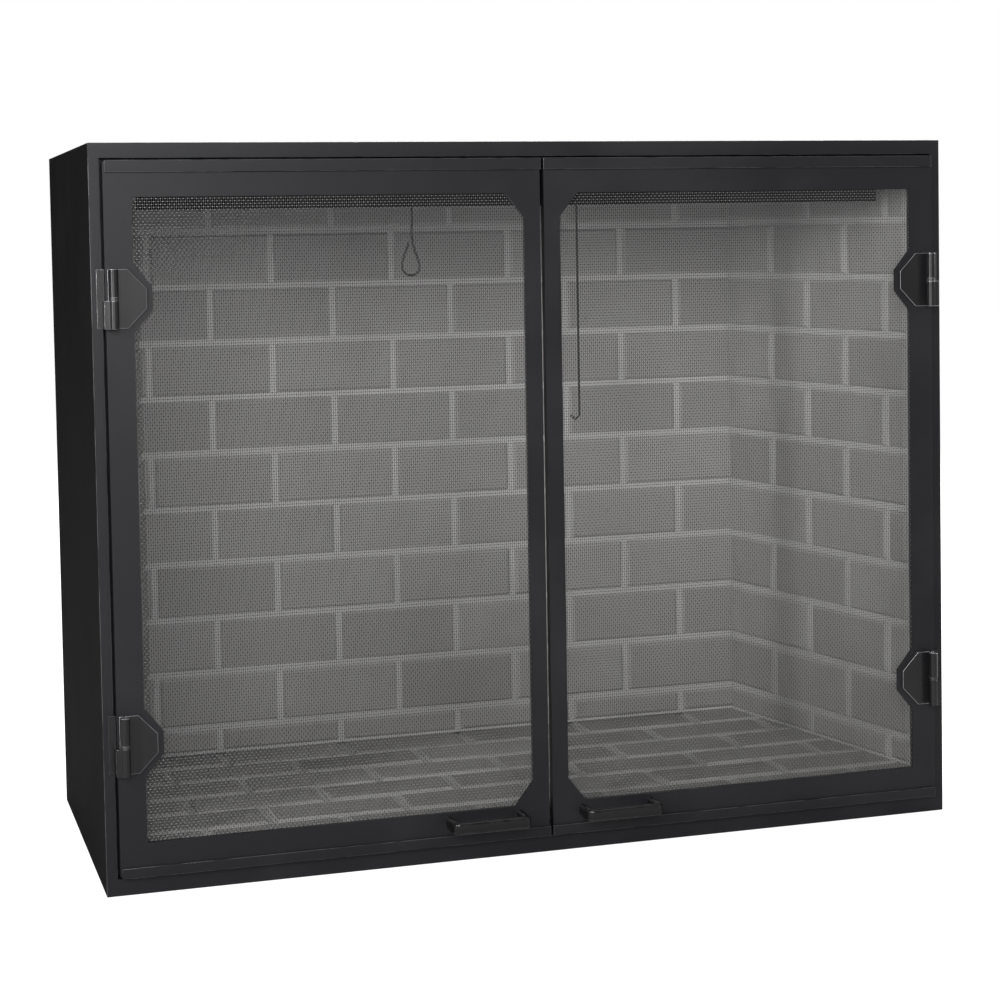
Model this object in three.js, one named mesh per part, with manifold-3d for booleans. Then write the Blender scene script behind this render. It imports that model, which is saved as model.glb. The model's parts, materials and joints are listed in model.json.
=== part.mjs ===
// A firebox with a pair of inset woven-mesh screen doors: a sheet-steel housing lined
// with brick-pattern refractory panels, a stepped face frame, a throat damper worked by
// two hanging wire pulls, and two lift-off doors with bar handles and magnetic catches.
// Millimetres, +Z up. The front faces -Y. The origin is the centre of the underside.
import * as THREE from 'three';
import { mergeVertices } from 'three/addons/utils/BufferGeometryUtils.js';
import Module from 'manifold-3d';

const wasm = await Module();
wasm.setup();

// ---- Driving dimensions ------------------------------------------------------------

const GAP = 0.3;
const SHEET = 2;

const HOUSING = {
  width: 1067, height: 860, depth: 458, frontFlange: 10, rearFlange: 20,
};
const FRONT_Y = -HOUSING.depth / 2;
const HALF_W = HOUSING.width / 2;

// The face frame: a flange around the opening, a reveal, and a stop the doors close on.
const FRAME = {
  side: 12.5, top: 17.5, bottom: 19.5, reveal: 20, stopSide: 14, stopTop: 30, stopBottom: 14,
};

// One door: its box, measured from its hinge edge, its main face and its bottom edge.
const DOOR = {
  hingeEdge: 15.1, width: 515.9, bottom: 22, height: 818, proud: 8, pan: 12,
  windowHinge: 31.4, windowMeet: 20, windowBottom: 39, windowTop: 41.5,
  chamferX: 22.5, chamferZ: 28.5,
};
const CHANNEL = {
  lip: 3, hingeInset: 1.6, meetOverhang: 0.9, topHeight: 13.8, bottomHeight: 12,
};
const TAB = { base: 79, tip: 26, reach: 21.5 };
const MESH = { margin: 8, thickness: 1.4 };
const RETAINER = { thickness: 3 };

// Lift-off hinges: the door's knuckle sits on the frame's knuckle, round a fixed pin.
const HINGE = {
  inset: 176, height: 67, axisInset: 7.9, axisForward: 12, barrel: 5.3, bore: 2.95,
  pin: 2.5, split: 3.6, leaf: 2.5, nest: 7, stripWidth: 8.6, legWidth: 2.5, web: 3,
};
const ROUND_SIDES = 24;

const HANDLE = {
  length: 97, fromMeet: 33, height: 14.5, centre: 27.5, reach: 35, bar: 8, corner: 8,
  boreRadius: 2.25, boreDepth: 12,
};
const SCREW = { shank: 1.9, head: 3.2, headDepth: 3, z: 26.5, length: 12 };
const CATCH = { width: 40, height: 16, fromMeet: 8, z: 815, strike: 1.5, strikeOver: 3 };

// The refractory lining: the side panels splay inwards towards the back.
const LINER = {
  thickness: 25, frontInset: 32, backInset: 112, frontY: 30, rearY: 427, top: 830,
  hearthTop: 52,
};
const LINTEL = { inset: 60, depth: 55, bottom: 784, flange: 22 };

// The throat damper: a flap hung along its rear edge, under a short throat collar.
const DAMPER = {
  halfWidth: 216, frontY: 180, rearY: 343, bottom: 843, thickness: 3,
  pivotY: 345, pivotZ: 842, rod: 4, bore: 4.4, knuckle: 7.3, knuckleFrom: 120,
  knuckleTo: 150, bracketX: 222, slotWidth: 6, slotEnd: 190,
};
const THROAT = { halfWidth: 208, frontY: 197, rearY: 335 };
const PULL = { y: 187, wire: 1.5, ball: 4.5, sides: 8 };
const SHORT_PULL = { x: -109.5, loopTop: 744, loopBottom: 700, loopHalf: 12 };
const LONG_PULL = { x: 111.5, bottom: 508, hookRadius: 6 };

// ---- Materials ---------------------------------------------------------------------

const finish = (color, roughness, metalness) => (
  new THREE.MeshStandardMaterial({ color, roughness, metalness })
);
const frontPaint = finish(0x333335, 0.45, 0.3);
const housingPaint = finish(0x232324, 0.6, 0.3);
const hingePaint = finish(0x2a2a2c, 0.4, 0.4);
const meshWire = finish(0x2b2b2c, 0.5, 0.6);
const bareSteel = finish(0x8d8f92, 0.35, 0.9);
const catchPlastic = finish(0x161616, 0.6, 0);
const firebrick = finish(0x9a9188, 0.95, 0);

// ---- Solids and outlines -----------------------------------------------------------

function toSolid(geometry) {
  const bare = geometry.clone();
  bare.deleteAttribute('normal');
  bare.deleteAttribute('uv');
  const merged = mergeVertices(bare);
  return new wasm.Manifold(new wasm.Mesh({
    numProp: 3,
    vertProperties: merged.attributes.position.array,
    triVerts: merged.index.array,
  }));
}

function toGeometry(solid) {
  const { vertProperties, triVerts } = solid.getMesh();
  const geometry = new THREE.BufferGeometry();
  geometry.setAttribute('position', new THREE.BufferAttribute(vertProperties, 3));
  geometry.setIndex(new THREE.BufferAttribute(triVerts, 1));
  geometry.computeVertexNormals();
  return geometry;
}

const join = (first, ...rest) => (
  toGeometry(rest.reduce((body, piece) => body.add(toSolid(piece)), toSolid(first)))
);
const cut = (first, ...rest) => (
  toGeometry(rest.reduce((body, piece) => body.subtract(toSolid(piece)), toSolid(first)))
);

// Every outline runs anticlockwise, whichever hand its piece is.
function outline(points) {
  const corners = points.map(([a, b]) => new THREE.Vector2(a, b));
  return new THREE.Shape(THREE.ShapeUtils.isClockWise(corners) ? corners.reverse() : corners);
}

const rectangle = (a0, b0, a1, b1) => [[a0, b0], [a1, b0], [a1, b1], [a0, b1]];

function circlePath(x, y, radius) {
  const path = new THREE.Path();
  path.absarc(x, y, radius, 0, 2 * Math.PI, true);
  return path;
}

function extrude(shape, depth) {
  return new THREE.ExtrudeGeometry(shape, {
    depth, bevelEnabled: false, curveSegments: ROUND_SIDES / 2,
  });
}

// An (x, z) outline, given thickness from y0 back to y1.
function frontal(shape, y0, y1) {
  return extrude(shape, y1 - y0).rotateX(Math.PI / 2).translate(0, y1, 0);
}

// An (x, y) outline, given height from z0 up to z1.
const upright = (shape, z0, z1) => extrude(shape, z1 - z0).translate(0, 0, z0);

// A (y, z) outline, run from x0 across to x1.
function across(shape, x0, x1) {
  const turn = new THREE.Matrix4().makeBasis(
    new THREE.Vector3(0, 1, 0),
    new THREE.Vector3(0, 0, 1),
    new THREE.Vector3(1, 0, 0),
  );
  return extrude(shape, x1 - x0).applyMatrix4(turn).translate(x0, 0, 0);
}

function box(x0, x1, y0, y1, z0, z1) {
  const geometry = new THREE.BoxGeometry(Math.abs(x1 - x0), y1 - y0, z1 - z0);
  return geometry.translate((x0 + x1) / 2, (y0 + y1) / 2, (z0 + z1) / 2);
}

function post(x, y, radius, z0, z1) {
  const geometry = new THREE.CylinderGeometry(radius, radius, z1 - z0, ROUND_SIDES);
  return geometry.rotateX(Math.PI / 2).translate(x, y, (z0 + z1) / 2);
}

function peg(x, z, radius, y0, y1) {
  const geometry = new THREE.CylinderGeometry(radius, radius, y1 - y0, ROUND_SIDES);
  return geometry.translate(x, (y0 + y1) / 2, z);
}

function rod(y, z, radius, x0, x1) {
  const geometry = new THREE.CylinderGeometry(radius, radius, x1 - x0, ROUND_SIDES);
  return geometry.rotateZ(Math.PI / 2).translate((x0 + x1) / 2, y, z);
}

function addPart(group, name, geometry, material) {
  const mesh = new THREE.Mesh(geometry, material);
  mesh.name = name;
  group.add(mesh);
}

// ---- Housing -----------------------------------------------------------------------
// The firebox group sits with y = 0 on the face plane, x = 0 in the middle, z = 0 at the base.

function sidePanel(side) {
  const { frontFlange, rearFlange } = HOUSING;
  const frontY = SHEET + GAP;
  const rearY = HOUSING.depth - SHEET - GAP;
  const inward = (distance) => side * (HALF_W - distance);
  const channel = outline([
    [inward(0), frontY], [inward(frontFlange), frontY],
    [inward(frontFlange), frontY + SHEET],
    [inward(SHEET), frontY + SHEET], [inward(SHEET), rearY - SHEET],
    [inward(rearFlange), rearY - SHEET], [inward(rearFlange), rearY], [inward(0), rearY],
  ]);
  return upright(channel, SHEET + GAP, HOUSING.height - SHEET - GAP);
}

function flatPanel(z0, openings) {
  const panel = outline(rectangle(
    -HALF_W, SHEET + GAP, HALF_W, HOUSING.depth - SHEET - GAP,
  ));
  panel.holes.push(...openings);
  return upright(panel, z0, z0 + SHEET);
}

function flueHole() {
  return outline(rectangle(
    -THROAT.halfWidth + SHEET, THROAT.frontY + SHEET,
    THROAT.halfWidth - SHEET, THROAT.rearY - SHEET,
  ));
}

function backPanel() {
  const panel = outline(rectangle(-HALF_W, 0, HALF_W, HOUSING.height));
  return frontal(panel, HOUSING.depth - SHEET, HOUSING.depth);
}

function frameRing(outer, inner, y0, y1) {
  const ring = outline(rectangle(-outer.x, outer.z0, outer.x, outer.z1));
  ring.holes.push(outline(rectangle(-inner.x, inner.z0, inner.x, inner.z1)));
  return frontal(ring, y0, y1);
}

function faceFrame() {
  const edge = { x: HALF_W, z0: 0, z1: HOUSING.height };
  const opening = {
    x: HALF_W - FRAME.side, z0: FRAME.bottom, z1: HOUSING.height - FRAME.top,
  };
  const reveal = { x: opening.x + SHEET, z0: opening.z0 - SHEET, z1: opening.z1 + SHEET };
  const stop = {
    x: opening.x - FRAME.stopSide,
    z0: opening.z0 + FRAME.stopBottom,
    z1: opening.z1 - FRAME.stopTop,
  };
  return join(
    frameRing(edge, opening, 0, SHEET),
    frameRing(reveal, opening, 0, FRAME.reveal),
    frameRing(reveal, stop, FRAME.reveal - SHEET, FRAME.reveal),
  );
}

function lintelShield() {
  const top = HOUSING.height - SHEET - GAP;
  const front = LINTEL.depth;
  const angle = outline([
    [front, LINTEL.bottom], [front, top], [front + LINTEL.flange, top],
    [front + LINTEL.flange, top - SHEET], [front + SHEET, top - SHEET],
    [front + SHEET, LINTEL.bottom],
  ]);
  return across(angle, -HALF_W + LINTEL.inset, HALF_W - LINTEL.inset);
}

// ---- Refractory lining -------------------------------------------------------------

function sideBrickPanel(side) {
  const rise = LINER.rearY - LINER.frontY;
  const slope = (LINER.backInset - LINER.frontInset) / rise;
  const offset = LINER.thickness * Math.hypot(1, slope);
  const x = (distance) => side * (HALF_W - distance);
  const panel = outline([
    [x(LINER.frontInset), LINER.frontY], [x(LINER.backInset), LINER.rearY],
    [x(LINER.backInset - offset), LINER.rearY], [x(LINER.frontInset - offset), LINER.frontY],
  ]);
  return upright(panel, LINER.hearthTop + GAP, LINER.top);
}

function backBrickPanel() {
  const half = HALF_W - LINER.backInset + LINER.thickness;
  const rear = LINER.rearY + GAP;
  return box(-half, half, rear, rear + LINER.thickness, LINER.hearthTop + GAP, LINER.top);
}

function hearthSlab() {
  const x = HALF_W - HOUSING.rearFlange - GAP;
  const rear = HOUSING.depth - 2 * SHEET - 2 * GAP;
  return box(-x, x, FRAME.reveal + GAP, rear, SHEET + GAP, LINER.hearthTop);
}

// ---- Throat damper -----------------------------------------------------------------

function flueThroat() {
  const collar = outline(rectangle(
    -THROAT.halfWidth, THROAT.frontY, THROAT.halfWidth, THROAT.rearY,
  ));
  collar.holes.push(flueHole());
  const bottom = DAMPER.bottom + DAMPER.thickness + GAP;
  return upright(collar, bottom, HOUSING.height - SHEET - GAP);
}

function damperFlap() {
  const top = DAMPER.bottom + DAMPER.thickness;
  const plate = box(
    -DAMPER.halfWidth, DAMPER.halfWidth, DAMPER.frontY, DAMPER.rearY, DAMPER.bottom, top,
  );
  const knuckles = [-1, 1].flatMap((side) => {
    const ends = [side * DAMPER.knuckleFrom, side * DAMPER.knuckleTo];
    const from = Math.min(...ends);
    const to = Math.max(...ends);
    return [rod(DAMPER.pivotY, DAMPER.pivotZ, DAMPER.knuckle, from, to)];
  });
  const bore = rod(
    DAMPER.pivotY, DAMPER.pivotZ, DAMPER.bore, -DAMPER.halfWidth - SHEET,
    DAMPER.halfWidth + SHEET,
  );
  const slots = [SHORT_PULL.x, LONG_PULL.x].map((x) => box(
    x - DAMPER.slotWidth / 2, x + DAMPER.slotWidth / 2, DAMPER.frontY - SHEET,
    DAMPER.slotEnd, DAMPER.bottom - SHEET, top + SHEET,
  ));
  return cut(join(plate, ...knuckles), bore, ...slots);
}

function damperBracket(side) {
  const reach = 12;
  const plate = outline(rectangle(
    DAMPER.pivotY - reach, DAMPER.pivotZ - reach,
    DAMPER.pivotY + reach, HOUSING.height - SHEET - GAP,
  ));
  plate.holes.push(circlePath(DAMPER.pivotY, DAMPER.pivotZ, DAMPER.bore));
  const inner = DAMPER.bracketX * side;
  const outer = (DAMPER.bracketX + DAMPER.thickness) * side;
  return across(plate, Math.min(inner, outer), Math.max(inner, outer));
}

function damperRod() {
  const overhang = 10;
  const half = DAMPER.bracketX + overhang;
  return rod(DAMPER.pivotY, DAMPER.pivotZ, DAMPER.rod, -half, half);
}

function wireAlong(points, steps) {
  const section = new THREE.Shape();
  section.absarc(0, 0, PULL.wire, 0, 2 * Math.PI, false);
  const route = new THREE.CatmullRomCurve3(
    points.map(([x, z]) => new THREE.Vector3(x, PULL.y, z)), false, 'centripetal',
  );
  return new THREE.ExtrudeGeometry(section, {
    steps, extrudePath: route, bevelEnabled: false, curveSegments: PULL.sides / 2,
  });
}

function pull(x, points, steps) {
  const ballZ = DAMPER.bottom + DAMPER.thickness + GAP + PULL.ball;
  const ball = new THREE.SphereGeometry(PULL.ball, ROUND_SIDES / 2, ROUND_SIDES / 3);
  return join(
    ball.rotateX(Math.PI / 2).translate(x, PULL.y, ballZ),
    wireAlong([[x, ballZ], ...points], steps),
  );
}

// The short pull ends in a teardrop finger loop, wound back almost onto its own stem.
function shortPull() {
  const { x, loopTop, loopBottom, loopHalf } = SHORT_PULL;
  const middle = loopBottom + loopHalf;
  const bowl = [-20, -60, -90, -120, -160, -200].map((degrees) => {
    const angle = THREE.MathUtils.degToRad(degrees);
    return [x - 2 + loopHalf * Math.cos(angle), middle + loopHalf * Math.sin(angle)];
  });
  const tip = [x - 2 * PULL.wire - 1, loopTop - 2];
  return pull(x, [[x, loopTop + 30], [x, loopTop], ...bowl, tip], 44);
}

function longPull() {
  const { x, bottom, hookRadius } = LONG_PULL;
  const hook = [0, -45, -90, -135, -180].map((degrees) => {
    const angle = THREE.MathUtils.degToRad(degrees);
    return [
      x - hookRadius + hookRadius * Math.cos(angle),
      bottom + hookRadius * (1 + Math.sin(angle)),
    ];
  });
  return pull(x, [[x, bottom + 150], [x, bottom + 2 * hookRadius], ...hook], 40);
}

// ---- Doors -------------------------------------------------------------------------
// Door groups sit at their hinge edge: u runs to the meeting edge, y back from the main
// face, z up from the bottom edge. `inward` is +1 on the left door and -1 on the right.

const hingeCentres = [
  { level: 'upper', z: HOUSING.height - HINGE.inset - DOOR.bottom },
  { level: 'lower', z: HINGE.inset - DOOR.bottom },
];

// The window with its two cut corners at the meeting side, grown outwards by `margin`.
function windowCorners(margin) {
  const left = DOOR.windowHinge - margin;
  const right = DOOR.width - DOOR.windowMeet + margin;
  const bottom = DOOR.windowBottom - margin;
  const top = DOOR.height - DOOR.windowTop + margin;
  return {
    left,
    rightSide: [
      [left, bottom], [right - DOOR.chamferX, bottom], [right, bottom + DOOR.chamferZ],
      [right, top - DOOR.chamferZ], [right - DOOR.chamferX, top], [left, top],
    ],
  };
}

const turned = (points, inward) => points.map(([u, z]) => [inward * u, z]);

function tabbedWindow() {
  const { left, rightSide } = windowCorners(0);
  const tabs = hingeCentres.flatMap(({ z }) => [
    [left, z + TAB.base / 2], [left + TAB.reach, z + TAB.tip / 2],
    [left + TAB.reach, z - TAB.tip / 2], [left, z - TAB.base / 2],
  ]);
  return [...rightSide, ...tabs];
}

function doorFace(inward) {
  const low = SHEET + GAP;
  const high = DOOR.height - SHEET - GAP;
  const edge = rectangle(0, low, DOOR.width, high);
  const inner = rectangle(SHEET, low + SHEET, DOOR.width - SHEET, high - SHEET);
  const plate = outline(turned(edge, inward));
  plate.holes.push(outline(turned(tabbedWindow(), inward)));
  const rim = outline(turned(edge, inward));
  rim.holes.push(outline(turned(inner, inward)));
  const screwHoles = handleScrewPlaces().map((u) => peg(
    inward * u, SCREW.z, HANDLE.boreRadius, -SHEET, 2 * SHEET,
  ));
  return cut(join(frontal(plate, 0, SHEET), frontal(rim, 0, DOOR.pan)), ...screwHoles);
}

// A channel that caps the door's edge: a thick front lip, a web and a thin back lip.
function channel(inward, edgeZ, lipZ) {
  const web = edgeZ + Math.sign(lipZ - edgeZ) * SHEET;
  const profile = outline([
    [-CHANNEL.lip - GAP, lipZ], [-CHANNEL.lip - GAP, edgeZ],
    [DOOR.pan + GAP + SHEET, edgeZ], [DOOR.pan + GAP + SHEET, lipZ],
    [DOOR.pan + GAP, lipZ], [DOOR.pan + GAP, web], [-GAP, web], [-GAP, lipZ],
  ]);
  const ends = [
    inward * CHANNEL.hingeInset, inward * (DOOR.width + CHANNEL.meetOverhang),
  ];
  return across(profile, Math.min(...ends), Math.max(...ends));
}

function meshPanel(inward) {
  const panel = outline(turned(windowCorners(MESH.margin).rightSide, inward));
  const front = SHEET + GAP;
  return frontal(panel, front, front + MESH.thickness);
}

function meshRetainer(inward) {
  const ring = outline(turned(windowCorners(MESH.margin).rightSide, inward));
  ring.holes.push(outline(turned(windowCorners(0).rightSide, inward)));
  const front = SHEET + MESH.thickness + 2 * GAP;
  return frontal(ring, front, front + RETAINER.thickness);
}

function handleEnds() {
  const far = DOOR.width - HANDLE.fromMeet;
  return { near: far - HANDLE.length, far };
}

function handleScrewPlaces() {
  const { near, far } = handleEnds();
  return [near + HANDLE.bar / 2, far - HANDLE.bar / 2];
}

function doorHandle(inward) {
  const { near, far } = handleEnds();
  const { reach, bar, corner } = HANDLE;
  const inner = corner - bar / 2;
  const shape = new THREE.Shape();
  shape.moveTo(near, -GAP);
  shape.lineTo(near, -reach + corner);
  shape.quadraticCurveTo(near, -reach, near + corner, -reach);
  shape.lineTo(far - corner, -reach);
  shape.quadraticCurveTo(far, -reach, far, -reach + corner);
  shape.lineTo(far, -GAP);
  shape.lineTo(far - bar, -GAP);
  shape.lineTo(far - bar, -reach + bar + inner);
  shape.quadraticCurveTo(far - bar, -reach + bar, far - bar - inner, -reach + bar);
  shape.lineTo(near + bar + inner, -reach + bar);
  shape.quadraticCurveTo(near + bar, -reach + bar, near + bar, -reach + bar + inner);
  shape.lineTo(near + bar, -GAP);
  const points = shape.extractPoints(HANDLE.corner).shape;
  const flat = outline(turned(points.map(({ x, y }) => [x, y]), inward));
  const half = HANDLE.height / 2;
  const bores = handleScrewPlaces().map((u) => peg(
    inward * u, SCREW.z, HANDLE.boreRadius, -HANDLE.boreDepth - GAP, SHEET,
  ));
  return cut(upright(flat, HANDLE.centre - half, HANDLE.centre + half), ...bores);
}

function handleScrew(inward, u) {
  const headFront = SHEET + GAP;
  const tip = headFront - SCREW.length;
  return join(
    peg(inward * u, SCREW.z, SCREW.shank, tip, headFront + 1),
    peg(inward * u, SCREW.z, SCREW.head, headFront, headFront + SCREW.headDepth),
  );
}

function strikePlate(inward) {
  const y = DOOR.pan + SHEET + 2 * GAP;
  const far = DOOR.width - CATCH.fromMeet + CATCH.strikeOver;
  const near = far - CATCH.width - 2 * CATCH.strikeOver;
  const z = CATCH.z - DOOR.bottom - CATCH.strikeOver;
  const height = CATCH.height + 2 * CATCH.strikeOver;
  return box(inward * near, inward * far, y, y + CATCH.strike, z, z + height);
}

// ---- Hinges ------------------------------------------------------------------------
// `z` is the middle of the hinge, in the door group's frame.

function knuckle(inward, z0, z1) {
  const ring = new THREE.Shape();
  ring.absarc(inward * HINGE.axisInset, -HINGE.axisForward, HINGE.barrel, 0, 2 * Math.PI);
  return upright(ring, z0, z1);
}

function pinHole(inward, z0, z1) {
  return post(
    inward * HINGE.axisInset, -HINGE.axisForward, HINGE.bore, z0 - SHEET, z1 + SHEET,
  );
}

// The door's leaf: a plate with cut corners on the tab, carrying the upper knuckle.
function doorLeaf(inward, z) {
  const base = HINGE.height / 2;
  const tip = DOOR.windowHinge + TAB.reach - HINGE.nest;
  const tipHalf = TAB.tip / 2 - SHEET;
  const shoulder = tip - TAB.reach;
  const start = HINGE.legWidth;
  const plate = outline(turned([
    [start, z - base], [shoulder, z - base], [tip, z - tipHalf],
    [tip, z + tipHalf], [shoulder, z + base], [start, z + base],
  ], inward));
  const low = z + HINGE.split / 2;
  const high = z + base;
  const webFrom = inward * (HINGE.axisInset - HINGE.web / 2);
  const webTo = inward * (HINGE.axisInset + HINGE.web / 2);
  const leafBack = -GAP;
  return cut(
    join(
      frontal(plate, leafBack - HINGE.leaf, leafBack),
      box(webFrom, webTo, -HINGE.axisForward, leafBack - HINGE.leaf / 2, low, high),
      knuckle(inward, low, high),
    ),
    pinHole(inward, low, high),
  );
}

// The frame's leaf: a strip on the flange, a leg past the door's edge, the lower knuckle.
function frameLeaf(inward, z) {
  const base = HINGE.height / 2;
  const low = z - base;
  const high = z - HINGE.split / 2;
  const flangeFace = DOOR.proud - GAP;
  const legInner = -GAP * 2;
  const legOuter = legInner - HINGE.legWidth;
  const front = -HINGE.axisForward - HINGE.web / 2;
  const back = front + HINGE.web;
  return cut(
    join(
      box(
        inward * (legInner - HINGE.stripWidth), inward * legInner,
        flangeFace - HINGE.leaf, flangeFace, low, z + base,
      ),
      box(inward * legOuter, inward * legInner, front, flangeFace, low, high),
      box(inward * legOuter, inward * (HINGE.axisInset - HINGE.bore), front, back, low, high),
      knuckle(inward, low, high),
    ),
    pinHole(inward, low, high),
  );
}

function hingePin(inward, z) {
  const base = HINGE.height / 2;
  return post(
    inward * HINGE.axisInset, -HINGE.axisForward, HINGE.pin, z - base, z + base - 2 * SHEET,
  );
}

// The washer that the upper knuckle turns on.
function hingeWasher(inward, z) {
  const half = HINGE.split / 2 - GAP;
  return cut(knuckle(inward, z - half, z + half), pinHole(inward, z - half, z + half));
}

function magneticCatch(inward) {
  const y0 = DOOR.pan + SHEET + 2 * GAP + CATCH.strike + 0.5;
  const y1 = DOOR.proud + FRAME.reveal - SHEET - GAP;
  const far = DOOR.width - CATCH.fromMeet;
  const z = CATCH.z - DOOR.bottom;
  return box(
    inward * (far - CATCH.width), inward * far, y0, y1, z, z + CATCH.height,
  );
}

// ---- Assembly ----------------------------------------------------------------------

const firebox = new THREE.Group();
firebox.position.y = FRONT_Y;

addPart(firebox, 'face_frame', faceFrame(), frontPaint);
addPart(firebox, 'housing_left_side', sidePanel(-1), housingPaint);
addPart(firebox, 'housing_right_side', sidePanel(1), housingPaint);
addPart(firebox, 'housing_top', flatPanel(HOUSING.height - SHEET, [flueHole()]), housingPaint);
addPart(firebox, 'housing_bottom', flatPanel(0, []), housingPaint);
addPart(firebox, 'housing_back', backPanel(), housingPaint);
addPart(firebox, 'lintel_shield', lintelShield(), housingPaint);

addPart(firebox, 'left_brick_panel', sideBrickPanel(-1), firebrick);
addPart(firebox, 'right_brick_panel', sideBrickPanel(1), firebrick);
addPart(firebox, 'back_brick_panel', backBrickPanel(), firebrick);
addPart(firebox, 'hearth_slab', hearthSlab(), firebrick);

addPart(firebox, 'flue_throat', flueThroat(), housingPaint);
addPart(firebox, 'damper_flap', damperFlap(), housingPaint);
addPart(firebox, 'damper_rod', damperRod(), bareSteel);
addPart(firebox, 'damper_left_bracket', damperBracket(-1), housingPaint);
addPart(firebox, 'damper_right_bracket', damperBracket(1), housingPaint);
addPart(firebox, 'short_damper_pull', shortPull(), bareSteel);
addPart(firebox, 'long_damper_pull', longPull(), bareSteel);

const doors = [
  { side: 'left', inward: 1 },
  { side: 'right', inward: -1 },
];
for (const { side, inward } of doors) {
  const door = new THREE.Group();
  door.position.set(
    -inward * (HALF_W - DOOR.hingeEdge), -DOOR.proud, DOOR.bottom,
  );
  addPart(door, `${side}_door_face`, doorFace(inward), frontPaint);
  addPart(
    door, `${side}_door_top_channel`,
    channel(inward, DOOR.height, DOOR.height - CHANNEL.topHeight), frontPaint,
  );
  addPart(
    door, `${side}_door_bottom_channel`,
    channel(inward, 0, CHANNEL.bottomHeight), frontPaint,
  );
  addPart(door, `${side}_mesh_panel`, meshPanel(inward), meshWire);
  addPart(door, `${side}_mesh_retainer`, meshRetainer(inward), frontPaint);
  addPart(door, `${side}_handle`, doorHandle(inward), hingePaint);
  handleScrewPlaces().forEach((u, index) => {
    const place = index === 0 ? 'outer' : 'inner';
    addPart(door, `${side}_handle_${place}_screw`, handleScrew(inward, u), bareSteel);
  });
  addPart(door, `${side}_strike_plate`, strikePlate(inward), bareSteel);
  addPart(door, `${side}_magnetic_catch`, magneticCatch(inward), catchPlastic);
  for (const { level, z } of hingeCentres) {
    addPart(door, `${side}_${level}_door_leaf`, doorLeaf(inward, z), hingePaint);
    addPart(door, `${side}_${level}_frame_leaf`, frameLeaf(inward, z), hingePaint);
    addPart(door, `${side}_${level}_hinge_pin`, hingePin(inward, z), bareSteel);
    addPart(door, `${side}_${level}_hinge_washer`, hingeWasher(inward, z), bareSteel);
  }
  firebox.add(door);
}

const part = new THREE.Group();
part.add(firebox);

export default part;
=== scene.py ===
# %% [markdown]
# # A firebox with woven-mesh screen doors
# This file dresses a steel firebox: a black sheet-metal housing lined with firebrick
# panels, with two doors of woven wire mesh hung on its face frame. Every size and
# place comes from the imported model, which is loaded first and never moved. Each sheet
# and casting is then copied, given the small round edges that folded and painted steel
# has, and painted. The mesh is woven wire by wire, and the brick panels are cut from
# single rectangles. Lengths are in metres, the front faces -Y and +Z is up.

# %% Load the fixed frame
import json
import math
import random

import bmesh
import bpy
from mathutils import Euler, Matrix, Vector


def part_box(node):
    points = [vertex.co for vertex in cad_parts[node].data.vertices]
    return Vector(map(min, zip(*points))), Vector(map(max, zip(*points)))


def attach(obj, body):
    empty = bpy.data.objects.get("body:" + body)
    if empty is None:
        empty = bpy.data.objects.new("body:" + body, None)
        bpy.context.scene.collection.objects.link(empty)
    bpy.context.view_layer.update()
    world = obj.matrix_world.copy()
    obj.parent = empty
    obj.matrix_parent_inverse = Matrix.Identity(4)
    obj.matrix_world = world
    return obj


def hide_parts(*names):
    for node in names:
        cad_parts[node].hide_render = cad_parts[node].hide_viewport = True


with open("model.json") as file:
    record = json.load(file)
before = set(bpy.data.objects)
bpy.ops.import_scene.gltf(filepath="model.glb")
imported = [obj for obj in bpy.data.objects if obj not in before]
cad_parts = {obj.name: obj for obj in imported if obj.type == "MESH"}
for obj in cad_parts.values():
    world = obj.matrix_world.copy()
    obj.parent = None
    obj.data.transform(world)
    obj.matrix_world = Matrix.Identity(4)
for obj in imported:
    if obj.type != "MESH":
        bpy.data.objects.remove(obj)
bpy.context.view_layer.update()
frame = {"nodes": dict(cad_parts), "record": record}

MM = 0.001
body_of_node = {
    node: body
    for body, members in frame["record"]["behaviour"]["bodies"].items()
    for node in members
}

# %% [markdown]
# ## The camera
# The firebox is seen from the left and a little above, from just under three metres.
# A long lens keeps the edges of such a box nearly parallel. The camera is placed by a
# yaw, a pitch and a small roll, which are turned into one rotation matrix: roll first,
# about the line of sight, then pitch, then yaw about the vertical. Tilting a camera
# down makes upright edges lean, so it tilts only a little, and the lens is shifted down
# for the rest, as on a studio view camera.

# %% Camera
SENSOR = 36
FOCAL_WIDTHS = 2.1424
LENS_SHIFT = -0.15
VIEW_FROM = Vector((-0.8027, -2.6707, 0.7448))
YAW, PITCH, ROLL = math.radians(17.07), math.radians(2.98), math.radians(-0.97)

lens = bpy.data.cameras.new("studio_camera")
lens.sensor_width = SENSOR
lens.lens = FOCAL_WIDTHS * SENSOR
lens.shift_y = LENS_SHIFT
camera = bpy.data.objects.new("studio_camera", lens)
camera.matrix_world = (
    Matrix.Translation(VIEW_FROM)
    @ Matrix.Rotation(-YAW, 4, "Z")
    @ Matrix.Rotation(math.pi / 2 - PITCH, 4, "X")
    @ Matrix.Rotation(ROLL, 4, "Z")
)
bpy.context.scene.collection.objects.link(camera)
bpy.context.scene.camera = camera
print(f"lens {lens.lens:.1f} mm at", *[round(c, 4) for c in VIEW_FROM])

# %% [markdown]
# ## Shader arithmetic
# A finish is a small graph of nodes. Wrapping a node's output in a class with Python's
# operators lets a line such as `1 - soot * 0.5` add its own Math nodes, which reads
# better than a page of links. Colours don't go through Math nodes, which would turn
# them grey, so they are blended by a Mix node instead.

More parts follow.
